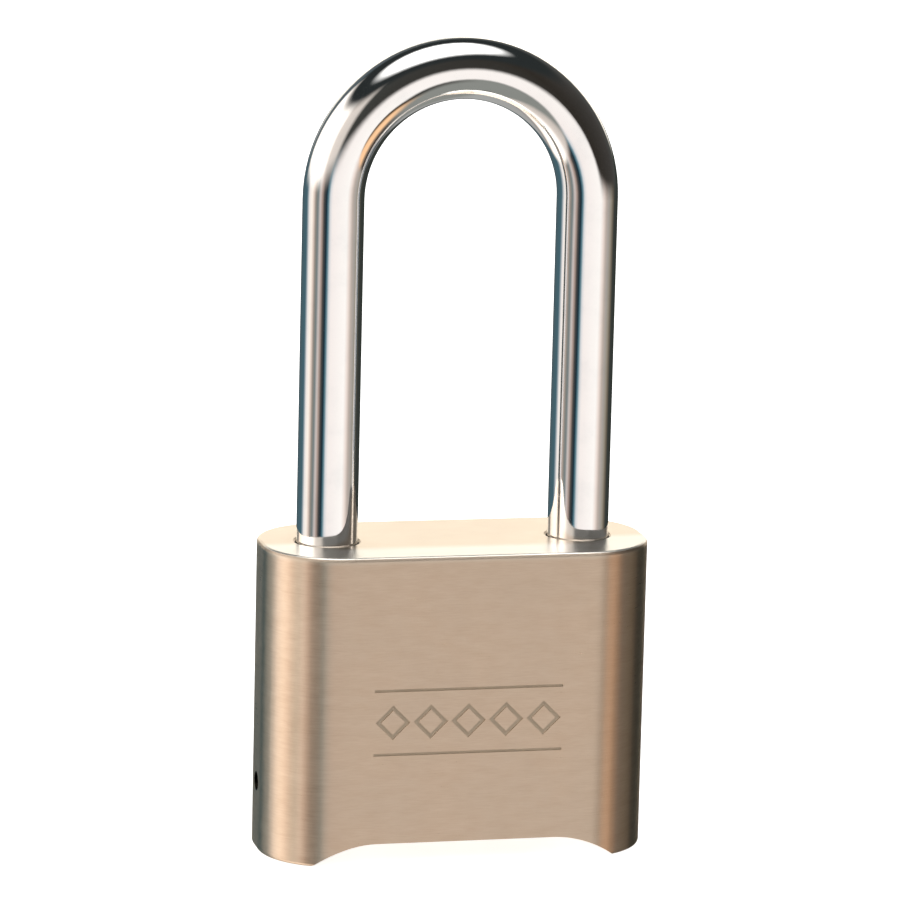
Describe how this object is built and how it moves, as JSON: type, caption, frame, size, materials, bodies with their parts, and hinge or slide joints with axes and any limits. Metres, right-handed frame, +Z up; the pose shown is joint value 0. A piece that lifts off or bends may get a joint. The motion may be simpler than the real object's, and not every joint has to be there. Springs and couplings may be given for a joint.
{
  "type": "combination padlock",
  "caption": "Solid brass padlock with a tall round chrome shackle and number dials in the arched underside, opened by lining up the dials.",
  "frame": {"origin": "middle of the base, on the plane that the body's two feet stand on", "axes": "+Z up along the shackle, +X towards the long leg of the shackle, -Y towards the engraved front"},
  "size_m": [0.0508, 0.0222, 0.1057],
  "materials": {
    "brushed_brass": "fine horizontal brushing, polished edges",
    "turned_brass": "turned",
    "dial_brass": "turned and polished, with numbers filled in black",
    "polished_chrome": "mirror polish",
    "pin_steel": "turned and ground",
    "spring_steel": "drawn wire and blued strip"
  },
  "bodies": {
    "lock_body": {"body": "brushed_brass", "end_plug": "brushed_brass", "collar_key_pin": "turned_brass", "keeper_pin": "pin_steel", "detent_spring": "spring_steel", "hub_spring": "spring_steel", "spindle_spring": "spring_steel", "shackle_spring": "spring_steel"},
    "shackle": {"shackle": "polished_chrome"},
    "spindle": {"locking_spindle": "pin_steel"},
    "cam": {"change_cam": "turned_brass"},
    "collar": {"change_collar": "pin_steel", "hub_washer": "pin_steel"},
    "dial_1": {"dial_1": "dial_brass"},
    "dial_2": {"dial_2": "dial_brass"},
    "dial_3": {"dial_3": "dial_brass"},
    "dial_4": {"dial_4": "dial_brass"},
    "hub_1": {"hub_1": "pin_steel"},
    "hub_2": {"hub_2": "pin_steel"},
    "hub_3": {"hub_3": "pin_steel"},
    "hub_4": {"hub_4": "pin_steel"}
  },
  "joints": [
    {"name": "shackle_lift", "type": "slide", "parent": "lock_body", "child": "shackle", "axis": [0, 0, 1], "range_m": [0, 0.0144], "deforming": ["shackle_spring"]},
    {"name": "bolt_retract", "type": "slide", "parent": "lock_body", "child": "spindle", "axis": [-1, 0, 0], "range_m": [-0.0019, 0], "deforming": ["spindle_spring"]},
    {"name": "cam_turn", "type": "hinge", "parent": "lock_body", "child": "cam", "pos_m": [-0.02, 0, 0.009], "axis": [1, 0, 0], "range_deg": [0, 90]},
    {"name": "collar_slide", "type": "slide", "parent": "lock_body", "child": "collar", "axis": [1, 0, 0], "range_m": [0, 0.00095], "deforming": ["hub_spring"]},
    {"name": "dial_turn_1", "type": "hinge", "parent": "lock_body", "child": "dial_1", "pos_m": [-0.00795, 0, 0.009], "axis": [1, 0, 0], "continuous": true, "deforming": ["detent_spring"]},
    {"name": "dial_turn_2", "type": "hinge", "parent": "lock_body", "child": "dial_2", "pos_m": [-0.00265, 0, 0.009], "axis": [1, 0, 0], "continuous": true},
    {"name": "dial_turn_3", "type": "hinge", "parent": "lock_body", "child": "dial_3", "pos_m": [0.00265, 0, 0.009], "axis": [1, 0, 0], "continuous": true},
    {"name": "dial_turn_4", "type": "hinge", "parent": "lock_body", "child": "dial_4", "pos_m": [0.00795, 0, 0.009], "axis": [1, 0, 0], "continuous": true},
    {"name": "hub_turn_1", "type": "hinge", "parent": "collar", "child": "hub_1", "pos_m": [-0.00795, 0, 0.009], "axis": [1, 0, 0], "continuous": true},
    {"name": "hub_turn_2", "type": "hinge", "parent": "collar", "child": "hub_2", "pos_m": [-0.00265, 0, 0.009], "axis": [1, 0, 0], "continuous": true},
    {"name": "hub_turn_3", "type": "hinge", "parent": "collar", "child": "hub_3", "pos_m": [0.00265, 0, 0.009], "axis": [1, 0, 0], "continuous": true},
    {"name": "hub_turn_4", "type": "hinge", "parent": "collar", "child": "hub_4", "pos_m": [0.00795, 0, 0.009], "axis": [1, 0, 0], "continuous": true}
  ],
  "couplings": [
    {"joint": "cam_turn", "follows": "collar_slide", "rad_per_m": 1653.5},
    {"joint": "hub_turn_1", "follows": "dial_turn_1", "ratio": 1},
    {"joint": "hub_turn_2", "follows": "dial_turn_2", "ratio": 1},
    {"joint": "hub_turn_3", "follows": "dial_turn_3", "ratio": 1},
    {"joint": "hub_turn_4", "follows": "dial_turn_4", "ratio": 1}
  ]
}
